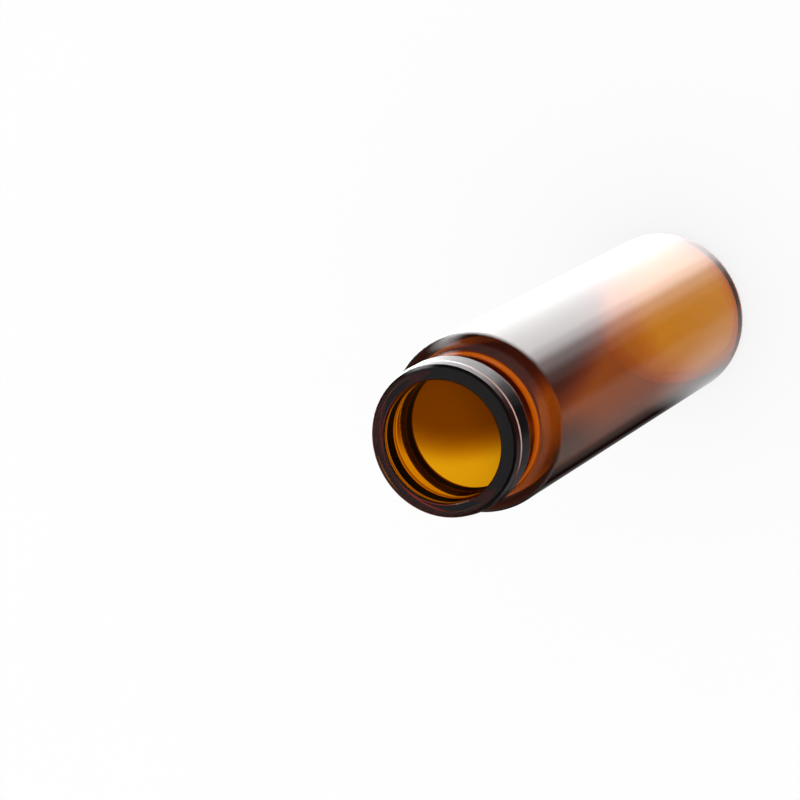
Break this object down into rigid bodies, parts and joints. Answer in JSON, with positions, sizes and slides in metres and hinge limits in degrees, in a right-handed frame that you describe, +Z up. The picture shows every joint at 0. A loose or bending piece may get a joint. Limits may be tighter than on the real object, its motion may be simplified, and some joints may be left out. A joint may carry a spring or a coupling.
{
  "type": "glass sample vial",
  "caption": "Amber glass tube vial with a straight body, rounded shoulder, wide open mouth and a short neck with two tapered bands for a closure.",
  "frame": {"origin": "centre of the foot, on the surface the vial stands on", "axes": "+Z up the vial's axis, from the base to the mouth"},
  "size_m": [0.0274, 0.0274, 0.095],
  "materials": {
    "amber_glass": "clear gloss"
  },
  "bodies": {
    "root": {"vial": "amber_glass"}
  },
  "joints": []
}
